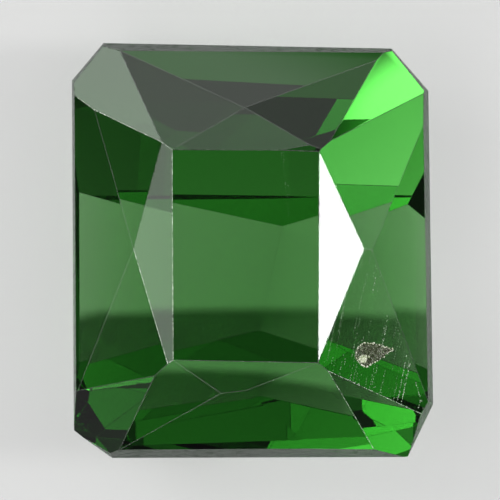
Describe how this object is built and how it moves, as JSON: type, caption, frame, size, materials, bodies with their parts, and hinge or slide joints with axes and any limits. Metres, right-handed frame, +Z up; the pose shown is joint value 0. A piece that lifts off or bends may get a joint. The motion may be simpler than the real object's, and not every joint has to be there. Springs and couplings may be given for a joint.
{
  "type": "faceted tourmaline",
  "caption": "Cut green tourmaline: a corner-cut rectangle with a scissors-cut crown and a stepped pavilion, lying on a facet of its keel.",
  "frame": {"origin": "middle of the stone's box in X and Y, at the surface that the rest facet lies on", "axes": "+Z up from that surface, +Y along the stone's length to the back of its table, and the table leans towards -X"},
  "size_m": [0.0058, 0.0066, 0.0044],
  "materials": {
    "green_tourmaline": "polished facets, unpolished girdle"
  },
  "bodies": {
    "root": {"tourmaline": "green_tourmaline"}
  },
  "joints": []
}
